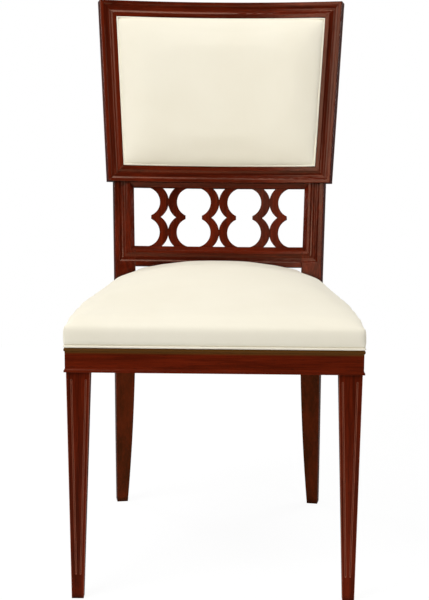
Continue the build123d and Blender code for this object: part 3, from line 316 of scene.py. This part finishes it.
# Seat: a foam pad under a tight cream cover. The fabric is pulled down over the front and sides, tucked in
# front of the rear legs, and finished along the rail with piping. The pad is crowned and its edges are soft.
CREAM = colour(245, 239, 221)
CREAM_SHADE = colour(239, 232, 212)
THREAD_PITCH = 0.0011
FRONT_Y = -0.2753
RAIL_TOP = 0.4156
SEAT_FRONT = FRONT_Y - 0.0015
SEAT_REAR = 0.1520
SEAT_FRONT_HALF = 0.2350
SIDE_SLOPE = 0.1356
SEAT_FOOT = RAIL_TOP + 0.0010
SEAT_TACKS = 0.004
SEAT_TUCK = 0.105
SEAT_CROWN_POWER = 2.4
SEAT_VOXEL = 0.006
SEAT_SWELL = 0.005
SEAT_EASE = 7
# A share of the depth, the edge's height above the rail there, and the crown's height above the edge.
SEAT_SHAPE = ((0.0, 0.0345, 0.000), (0.05, 0.0395, 0.001), (0.17, 0.0435, 0.0065), (0.30, 0.0430, 0.016),
              (0.43, 0.0380, 0.0265), (0.69, 0.0290, 0.0360), (0.88, 0.0245, 0.0325), (1.0, 0.0240, 0.0285))
POST_PLACE = Vector((0.16157, 0.12326, 0.45))
POST_TURN = 0.1643
POST_ROOM = (0.06, 0.08, 0.12)
POST_NOTCH_SIDE = 0.0185
POST_NOTCH_FRONT = 0.0010
RAIL_ROOM_WIDTH = 0.36
RAIL_ROOM_HEIGHT = 0.06
RAIL_ROOM_DEPTH = 0.04
RAIL_ROOM_LEVEL = 0.02
TUCK_DEPTH = 0.0040
BACK_RADIUS = 0.990
BACK_PLACE = Vector((0, 0.14469, 0.465))
UP_BACK = Vector((0, 0.24192, 0.97030))
TO_FRONT = Vector((0, -0.97030, 0.24192))
PAD_CUTS = 39
SWELL_FRAMES = 20
SWELL_PRESSURE = 3.0
COVER_MASS = 0.3
COVER_TENSION = 18
COVER_SHEAR = 8
COVER_BENDING = 6
FIRST_EASE = 2
EASE_LOSS = 0.0002


def cream_weave(name, lean):
    """Plain cream weave, its threads level and upright on a piece that leans back by an angle."""
    finish = Finish(name)
    turned = {"Vector": finish.coordinates(), "Rotation": (lean, 0, 0)}
    laid = finish.node("ShaderNodeMapping", {"vector_type": "POINT"}, turned)
    turned = {"Vector": finish.normal(), "Rotation": (lean, 0, 0)}
    facing = finish.node("ShaderNodeMapping", {"vector_type": "VECTOR"}, turned)
    waves = 2 * math.pi / THREAD_PITCH
    x, y, z = (finish.node("ShaderNodeMath", {"operation": "SINE"}, {0: part * waves})
               for part in finish.parts(laid))
    shares = [part * part for part in finish.parts(facing)]
    thread = y * z * shares[0] + x * z * shares[1] + x * y * shares[2]
    thread = thread * 0.5 + 0.5
    slub = finish.noise(finish.stretched(laid, (30, 700, 30)), 1.0, 2.0, 0.6) * 0.5
    slub = slub + finish.noise(finish.stretched(laid, (700, 30, 30)), 1.0, 2.0, 0.6) * 0.5
    handling = finish.noise(laid, 9.0, 2.0)
    tint = finish.between(handling, 0.3, 0.7) * 0.4 + slub * 0.3 + thread * 0.3
    finish.surface({"Base Color": finish.blend(tint, CREAM_SHADE, CREAM), "Roughness": 0.94 - thread * 0.08,
                    "Normal": finish.bump(thread * 0.8 + slub * 0.4, 0.0002, 0.3), "Specular IOR Level": 0.2,
                    "Sheen Weight": 0.15, "Sheen Roughness": 0.5})
    return finish.material


def new_piece(name, shape):
    """An object from a bmesh, at the origin."""
    mesh = bpy.data.meshes.new(name)
    shape.to_mesh(mesh)
    shape.free()
    piece = bpy.data.objects.new(name, mesh)
    bpy.context.scene.collection.objects.link(piece)
    return piece


def pad_block():
    """A finely divided cube from -1 to 1, which a pad is shaped from."""
    block = bmesh.new()
    bmesh.ops.create_cube(block, size=2)
    bmesh.ops.subdivide_edges(block, edges=block.edges, cuts=PAD_CUTS, use_grid_fill=True)
    return block


def settle(piece):
    """Turns a piece's modifiers into its mesh."""
    graph = bpy.context.evaluated_depsgraph_get()
    graph.update()
    mesh = bpy.data.meshes.new_from_object(piece.evaluated_get(graph))
    piece.modifiers.clear()
    piece.data = mesh


def remesh(piece, voxel):
    modifier = piece.modifiers.new("remesh", "REMESH")
    modifier.mode = "VOXEL"
    modifier.voxel_size = voxel
    settle(piece)


def cut_away(piece, cutter):
    """Takes a cutter's volume out of a piece and drops the cutter."""
    modifier = piece.modifiers.new("cut", "BOOLEAN")
    modifier.operation = "DIFFERENCE"
    modifier.solver = "EXACT"
    modifier.object = cutter
    settle(piece)
    bpy.data.objects.remove(cutter)


def swell(piece, held, cap):
    """Blows a pad up against its tight cover, with some points held, and caps how far a point moves."""
    start = [vertex.co.copy() for vertex in piece.data.vertices]
    group = piece.vertex_groups.new(name="held")
    group.add([index for index, place in enumerate(start) if held(place)], 1.0, "REPLACE")
    modifier = piece.modifiers.new("swell", "CLOTH")
    settings = modifier.settings
    settings.quality = 4
    settings.mass = COVER_MASS
    settings.tension_stiffness = COVER_TENSION
    settings.compression_stiffness = COVER_TENSION
    settings.shear_stiffness = COVER_SHEAR
    settings.bending_stiffness = COVER_BENDING
    settings.use_pressure = True
    settings.uniform_pressure_force = SWELL_PRESSURE
    settings.effector_weights.gravity = 0
    settings.vertex_group_mass = "held"
    modifier.point_cache.frame_start = 1
    modifier.point_cache.frame_end = SWELL_FRAMES
    for step in range(1, SWELL_FRAMES + 1):
        bpy.context.scene.frame_set(step)
    settle(piece)
    bpy.context.scene.frame_set(1)
    for vertex, place in zip(piece.data.vertices, start):
        move = vertex.co - place
        outward = min(max(move.dot(vertex.normal), 0), cap)
        vertex.co = place + vertex.normal * outward
    piece.vertex_groups.clear()


def ease(piece, passes, held):
    """Smooths a pad's surface, apart from the points that are held, and makes up for what that shrinks."""
    shape = bmesh.new()
    shape.from_mesh(piece.data)
    loose = [vertex for vertex in shape.verts if not held(vertex.co)]
    axes = {"use_axis_x": True, "use_axis_y": True, "use_axis_z": True}
    for _ in range(passes):
        bmesh.ops.smooth_vert(shape, verts=loose, factor=0.5, **axes)
    shape.normal_update()
    for vertex in loose:
        vertex.co += vertex.normal * (EASE_LOSS * passes)
    shape.to_mesh(piece.data)
    shape.free()


def subdivide(piece):
    modifier = piece.modifiers.new("subdivision", "SUBSURF")
    modifier.levels = 1
    modifier.render_levels = 1


def smooth_shaded(piece):
    piece.data.polygons.foreach_set("use_smooth", [True] * len(piece.data.polygons))


def seat_levels(share):
    """Edge height above the rail and crown above the edge, at a share of the seat's depth."""
    for before, after in zip(SEAT_SHAPE, SEAT_SHAPE[1:]):
        if share <= after[0] + 1e-6:
            along = (share - before[0]) / (after[0] - before[0])
            return [before[i] + (after[i] - before[i]) * along for i in (1, 2)]
    return SEAT_SHAPE[-1][1:]


def bow(across):
    """How far the curved back comes forward at this distance from its middle."""
    return BACK_RADIUS - math.sqrt(BACK_RADIUS**2 - across**2)


def back_point(across, up, forward):
    """A place on the curved, raked back: across it, up the rake and forward of its face."""
    return BACK_PLACE + Vector((across, 0, 0)) + UP_BACK * up + TO_FRONT * (forward + bow(across))


def seat_foot(place):
    """Whether this is the foot of the seat's cover, which is tacked to the board."""
    return place.z < SEAT_FOOT + SEAT_TACKS


def seat_tacked(place):
    """Whether the seat's cover is held here: along its foot, and where it is tucked in at the rear legs."""
    return seat_foot(place) or place.y > SEAT_TUCK


pad = pad_block()
for vertex in pad.verts:
    across, back, up = vertex.co
    share = (back + 1) / 2
    y = SEAT_FRONT + (SEAT_REAR - SEAT_FRONT) * share
    half = SEAT_FRONT_HALF - (y - SEAT_FRONT) * SIDE_SLOPE
    edge, crown = seat_levels(share)
    top = RAIL_TOP + edge + crown * (1 - abs(across) ** SEAT_CROWN_POWER)
    vertex.co = (across * half, y, SEAT_FOOT + (top - SEAT_FOOT) * (up + 1) / 2)
seat_pad = new_piece("seat_pad", pad)

for side in (-1, 1):
    width, depth, height = POST_ROOM
    middle = ((width - POST_NOTCH_SIDE) / 2, depth / 2 - POST_NOTCH_FRONT, 0)
    post = bmesh.new()
    bmesh.ops.create_cube(post, size=1)
    bmesh.ops.scale(post, verts=post.verts, vec=(width + POST_NOTCH_SIDE, depth, height))
    bmesh.ops.translate(post, verts=post.verts, vec=middle)
    bmesh.ops.rotate(post, verts=post.verts, cent=(0, 0, 0), matrix=Matrix.Rotation(-POST_TURN, 3, "Z"))
    bmesh.ops.translate(post, verts=post.verts, vec=POST_PLACE)
    if side < 0:
        bmesh.ops.scale(post, verts=post.verts, vec=MIRROR)
        bmesh.ops.reverse_faces(post, faces=post.faces)
    cut_away(seat_pad, new_piece("post_cutter", post))

rail_room = bmesh.new()
bmesh.ops.create_cube(rail_room, size=1)
long_edges = [edge for edge in rail_room.edges if abs((edge.verts[0].co - edge.verts[1].co).x) > 0.5]
bmesh.ops.subdivide_edges(rail_room, edges=long_edges, cuts=15)
for vertex in rail_room.verts:
    across, forward, up = vertex.co
    depth = TUCK_DEPTH / 2 - RAIL_ROOM_DEPTH / 2 - forward * RAIL_ROOM_DEPTH
    vertex.co = back_point(across * RAIL_ROOM_WIDTH, RAIL_ROOM_LEVEL + up * RAIL_ROOM_HEIGHT, depth)
bmesh.ops.recalc_face_normals(rail_room, faces=rail_room.faces)
cut_away(seat_pad, new_piece("rail_cutter", rail_room))

remesh(seat_pad, SEAT_VOXEL)
ease(seat_pad, FIRST_EASE, seat_foot)
swell(seat_pad, seat_tacked, SEAT_SWELL)
ease(seat_pad, SEAT_EASE, seat_foot)
smooth_shaded(seat_pad)
seat_pad.data.materials.append(cream_weave("cream_seat", 0.0))
subdivide(seat_pad)
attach(seat_pad, "root")
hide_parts("seat_cover", "seat_foam")

# Dust cover: a thin black cloth that keeps dust out of the seat. It is pulled tight and tacked under the seat
# board, and sags a little in the middle.
DUST_FRONT_Y = -0.2473
DUST_REAR_Y = 0.1253
DUST_DEPTH = DUST_REAR_Y - DUST_FRONT_Y
DUST_FRONT_HALF = 0.1723
DUST_REAR_HALF = 0.1268
DUST_SAG = 0.004
DUST_THICKNESS = 0.0006
DUST_BLACK = colour(20, 20, 21)
DUST_GREY = colour(46, 45, 45)
dust = bmesh.new()
bmesh.ops.create_grid(dust, x_segments=30, y_segments=30, size=1)
for vertex in dust.verts:
    across, back, _ = vertex.co
    share = (back + 1) / 2
    half = DUST_FRONT_HALF + (DUST_REAR_HALF - DUST_FRONT_HALF) * share
    sag = DUST_SAG * (1 - across**2) * (1 - back**2)
    vertex.co = (across * half, DUST_FRONT_Y + DUST_DEPTH * share, RAIL_TOP - DUST_THICKNESS - sag)
dust_cover = new_piece("dust_cover", dust)
smooth_shaded(dust_cover)
cloth = Finish("dust_cloth")
fibre = cloth.noise(cloth.coordinates(), 900.0, 3.0, 0.7)
cloth.surface({"Base Color": cloth.blend(fibre, DUST_BLACK, DUST_GREY), "Roughness": 0.95,
               "Normal": cloth.bump(fibre, 0.0003, 0.5)})
dust_cover.data.materials.append(cloth.material)
thickness = dust_cover.modifiers.new("thickness", "SOLIDIFY")
thickness.thickness = DUST_THICKNESS
thickness.offset = 0
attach(dust_cover, "root")
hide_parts("seat_dust_cover")

# Seat piping: a cord wrapped in the seat's own fabric. It is sewn along the foot of the cover, on the front
# and the two sides, and lies on the top edge of the rails.
PIPING_RADIUS = 0.0019
PIPING_LEVEL = RAIL_TOP + PIPING_RADIUS
PIPING_OUT = 0.0012
RAIL_FRONT_HALF = 0.2325
PIPING_CORNER_X = RAIL_FRONT_HALF + PIPING_OUT
PIPING_END_Y = 0.1192
PIPING_TURN = 0.004


def piping(name, runs, closed):
    """A fabric-covered cord along a route."""
    curve = bpy.data.curves.new(name, "CURVE")
    curve.dimensions = "3D"
    curve.bevel_depth = PIPING_RADIUS
    curve.bevel_resolution = 3
    curve.use_fill_caps = True
    spline = curve.splines.new("POLY")
    spline.points.add(len(runs) - 1)
    for point, place in zip(spline.points, runs):
        point.co = (*place, 1)
    spline.use_cyclic_u = closed
    drawn = bpy.data.objects.new(name + "_route", curve)
    bpy.context.scene.collection.objects.link(drawn)
    graph = bpy.context.evaluated_depsgraph_get()
    mesh = bpy.data.meshes.new_from_object(drawn.evaluated_get(graph))
    bpy.data.objects.remove(drawn)
    piece = bpy.data.objects.new(name, mesh)
    bpy.context.scene.collection.objects.link(piece)
    smooth_shaded(piece)
    return piece


def rounded(corner, before, after, size):
    """Five places round a corner of a route."""
    start = corner + (before - corner).normalized() * size
    end = corner + (after - corner).normalized() * size
    places = []
    for step in range(5):
        share = step / 4
        places.append(start * (1 - share) ** 2 + corner * 2 * share * (1 - share) + end * share**2)
    return places


front = Vector((PIPING_CORNER_X, FRONT_Y - PIPING_OUT, PIPING_LEVEL))
end = Vector((PIPING_CORNER_X - (PIPING_END_Y - front.y) * SIDE_SLOPE, PIPING_END_Y, PIPING_LEVEL))
route = [end] + rounded(front, end, front * MIRROR, PIPING_TURN)
route += [place * MIRROR for place in reversed(route)]
seat_piping = piping("seat_piping", route, False)
piping_weave = cream_weave("cream_piping", 0.0)
seat_piping.data.materials.append(piping_weave)
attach(seat_piping, "root")
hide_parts("seat_welt")

# Fret: three sawn mahogany splats, tongued into a bevelled head rail and a moulded base rail. All are curved
# with the back, and the two rails are dowelled between the posts.
for place, shift in (("base", 12.5), ("head", 13.8)):
    dress("fret_" + place + "_rail", polished_mahogany("mahogany_fret_" + place, (1, 0, 0), shift))
for index, place in enumerate(("left", "centre", "right")):
    dress("fret_splat_" + place, polished_mahogany("mahogany_splat_" + place, UP_BACK, 15.0 + index * 2.3))

# Back panel frame: four moulded mahogany members, mitred and dowelled at the corners, with a hollow down each
# face and a rebate behind for the boards. It stands on the two posts.
STILE_RUN = Vector((0.0587, 0.2296, 0.9715))
dress("panel_top_rail", polished_mahogany("mahogany_top_rail", (1, 0, 0), 22.1))
dress("panel_base_rail", polished_mahogany("mahogany_panel_base", (1, 0, 0), 23.7))
dress("panel_stile_right", polished_mahogany("mahogany_stile_right", STILE_RUN, 25.2))
dress("panel_stile_left", polished_mahogany("mahogany_stile_left", STILE_RUN * MIRROR, 26.9))

# Back pad: foam on a curved plywood board in the frame's rebate, under a tight cream cover. The cover is
# rolled over at its edges and crowned a little in the middle.
BACK_RAKE = math.radians(14)
PANEL_LOW = 0.140
PANEL_HIGH = 0.4565
STILE_LOW = 0.1936
STILE_HIGH = 0.2122
BOARD_FACE = -0.008
PAD_INSET = 0.0284
PAD_EDGE = 0.0065
PAD_CROWN = 0.0045
PAD_ROLL = 0.0115
PAD_TACKS = 0.002
PAD_ROLL_POWER = 8
PAD_VOXEL = 0.005
PAD_SWELL = 0.003
PAD_EASE = 2
dress("back_board", raw_wood("plywood_back", PLYWOOD, PLYWOOD_STREAK, (1, 0, 0), 5.2))


def stile_edge(up):
    """The outer edge of the right stile at this height up the rake."""
    return STILE_LOW + (STILE_HIGH - STILE_LOW) * (up - PANEL_LOW) / (PANEL_HIGH - PANEL_LOW)


def back_tacked(place):
    """Whether the back's cover is tacked here, along its edge."""
    return (place - BACK_PLACE).dot(TO_FRONT) - bow(place.x) < PAD_EDGE - PAD_TACKS


pad = pad_block()
for vertex in pad.verts:
    across, up, forward = vertex.co
    height = PANEL_LOW + PAD_INSET + (PANEL_HIGH - PANEL_LOW - 2 * PAD_INSET) * (up + 1) / 2
    place = across * (stile_edge(height) - PAD_INSET)
    swelling = PAD_CROWN * (1 - across**2) * (1 - up**2)
    roll = PAD_ROLL * (1 - across**PAD_ROLL_POWER) * (1 - up**PAD_ROLL_POWER)
    face = PAD_EDGE + swelling + roll
    vertex.co = back_point(place, height, BOARD_FACE + (face - BOARD_FACE) * (forward + 1) / 2)
bmesh.ops.recalc_face_normals(pad, faces=pad.faces)
back_pad = new_piece("back_pad", pad)
remesh(back_pad, PAD_VOXEL)
ease(back_pad, FIRST_EASE, back_tacked)
swell(back_pad, back_tacked, PAD_SWELL)
ease(back_pad, PAD_EASE, back_tacked)
smooth_shaded(back_pad)
back_pad.data.materials.append(cream_weave("cream_back", BACK_RAKE))
subdivide(back_pad)
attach(back_pad, "root")
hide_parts("back_cover", "back_foam")

# Back piping: a cord wrapped in the same fabric, as on the seat. It is sewn round the back pad and lies
# against the inner edge of the frame.
BACK_PIPING_INSET = 0.0299
BACK_PIPING_FORWARD = 0.0050
STILE_TURN = 0.1920
rows = []
for up in (PANEL_LOW + BACK_PIPING_INSET, PANEL_HIGH - BACK_PIPING_INSET):
    reach = stile_edge(up) - BACK_PIPING_INSET * math.cos(STILE_TURN)
    rows.append([back_point(reach * (step / 12 - 1), up, BACK_PIPING_FORWARD) for step in range(25)])
back_piping = piping("back_piping", rows[0] + rows[1][::-1], True)
back_piping.data.materials.append(piping_weave)
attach(back_piping, "root")
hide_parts("back_welt")

# Outside back: a thin board, lightly padded and covered in the same cream fabric, that closes the panel from
# behind. Its edges are pulled down into the frame's rebate.
OUTSIDE_LOW = 0.1603
OUTSIDE_HIGH = 0.4362
OUTSIDE_LOW_HALF = 0.1785
OUTSIDE_HIGH_HALF = 0.1947
OUTSIDE_FRONT = -0.0164
OUTSIDE_EDGE = -0.0208
OUTSIDE_CROWN = 0.0045
pad = pad_block()
for vertex in pad.verts:
    across, up, forward = vertex.co
    share = (up + 1) / 2
    half = OUTSIDE_LOW_HALF + (OUTSIDE_HIGH_HALF - OUTSIDE_LOW_HALF) * share
    rear = OUTSIDE_EDGE - OUTSIDE_CROWN * (1 - across**PAD_ROLL_POWER) * (1 - up**PAD_ROLL_POWER)
    height = OUTSIDE_LOW + (OUTSIDE_HIGH - OUTSIDE_LOW) * share
    vertex.co = back_point(across * half, height, rear + (OUTSIDE_FRONT - rear) * (forward + 1) / 2)
bmesh.ops.recalc_face_normals(pad, faces=pad.faces)
outside_cover = new_piece("outside_cover", pad)
smooth_shaded(outside_cover)
outside_cover.data.materials.append(cream_weave("cream_outside_back", BACK_RAKE))
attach(outside_cover, "root")
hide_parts("outside_back")

# Studio: a white floor in a dim room. Soft lamps stand in front at the upper left, at the left like a window
# and at the right, with a small reflector, one above and two behind. The room and the floor are white to the
# camera and dim in the polish, and the floor keeps the chair's shadow.
WHITE = (1, 1, 1, 1)
FLOOR_WHITE = (0.9, 0.9, 0.9, 1)
FLOOR_GLOW = 1.04
FLOOR_SHADOW = 0.10
FLOOR_HALF = 1.2
FLOOR_MIDDLE = (0, 0.15, 0)
ROOM_LEVEL = 0.10
MIRRORED_LEVEL = 0.04
floor = bmesh.new()
bmesh.ops.create_grid(floor, x_segments=2, y_segments=2, size=FLOOR_HALF)
bmesh.ops.translate(floor, verts=floor.verts, vec=FLOOR_MIDDLE)
stage = new_piece("floor", floor)
white = Finish("floor_white")
white.surface({"Base Color": FLOOR_WHITE, "Roughness": 0.9, "Specular IOR Level": 0.0})
seen = white.light_path("Is Camera Ray").at_least(white.light_path("Is Transmission Ray"))
mirrored = white.light_path("Is Glossy Ray")
level = seen * FLOOR_GLOW + mirrored * MIRRORED_LEVEL
glow = white.node("ShaderNodeEmission", {}, {"Color": WHITE, "Strength": level})
lit = Wire(white, white.shader.outputs[0])
share = seen.at_least(mirrored) * (1 - FLOOR_SHADOW)
mixed = white.node("ShaderNodeMixShader", {}, {0: share, 1: lit, 2: glow})
white.feed(white.tree.nodes["Material Output"].inputs["Surface"], mixed)
stage.data.materials.append(white.material)

world = bpy.data.worlds.new("studio")
bpy.context.scene.world = world
world.use_nodes = True
room = NodeTree(world.node_tree)
dim = ROOM_LEVEL + room.light_path("Is Glossy Ray") * (MIRRORED_LEVEL - ROOM_LEVEL)
backdrop = world.node_tree.nodes["Background"]
room.feed(backdrop.inputs["Color"], WHITE)
room.feed(backdrop.inputs["Strength"], dim + room.light_path("Is Camera Ray") * (1 - dim))


def lamp(name, place, aim, size, power):
    light = bpy.data.lights.new(name, "AREA")
    light.shape = "RECTANGLE"
    light.size, light.size_y = size
    light.energy = power
    holder = bpy.data.objects.new(name, light)
    holder.location = place
    holder.rotation_euler = (Vector(aim) - Vector(place)).to_track_quat("-Z", "Y").to_euler()
    bpy.context.scene.collection.objects.link(holder)


lamp("key", (-1.4, -1.6, 2.9), (0, 0, 0.5), (1.2, 1.2), 57)
lamp("window", (-2.6, -0.7, 1.6), (0, 0, 0.6), (2.2, 0.9), 18)
lamp("reflector", (-0.7, -2.3, 1.65), (0.2, 0.2, 0.7), (0.5, 0.9), 4.5)
lamp("fill", (1.7, -2.3, 0.8), (0, 0, 0.4), (1.0, 1.0), 19)
lamp("top", (0.5, 0.1, 2.9), (0, 0, 0.4), (1.2, 1.2), 19)
for side in (-1, 1):
    lamp("rear", (side * 2.3, 1.9, 0.9), (0, 0.1, 0.6), (1.0, 1.0), 30)

# Camera: at the photograph's height and distance from the chair, looking slightly down. Its angles are tilt,
# yaw and roll in degrees, and its focal length is in pixels of the picture.
CAMERA_PLACE = Vector((0.0428, FRONT_Y - 2.925, 1.1609))
CAMERA_ANGLES = (12.854, -0.844, -0.373)
FOCAL_PIXELS = 1948.5
PICTURE_HEIGHT = 600
SENSOR = 36.0
tilt, yaw, roll = (math.radians(angle) for angle in CAMERA_ANGLES)
forward = Vector((math.sin(yaw) * math.cos(tilt), math.cos(yaw) * math.cos(tilt), -math.sin(tilt)))
level_right = Vector((math.cos(yaw), -math.sin(yaw), 0))
level_down = forward.cross(level_right)
right = level_right * math.cos(roll) + level_down * math.sin(roll)
down = level_down * math.cos(roll) - level_right * math.sin(roll)
camera = bpy.data.cameras.new("camera")
camera.sensor_width = SENSOR
camera.lens = FOCAL_PIXELS * SENSOR / PICTURE_HEIGHT
viewer = bpy.data.objects.new("camera", camera)
turn = Matrix((right, -down, -forward)).transposed().to_4x4()
viewer.matrix_world = Matrix.Translation(CAMERA_PLACE) @ turn
bpy.context.scene.collection.objects.link(viewer)
bpy.context.scene.camera = viewer
bpy.context.scene.view_settings.view_transform = "Standard"
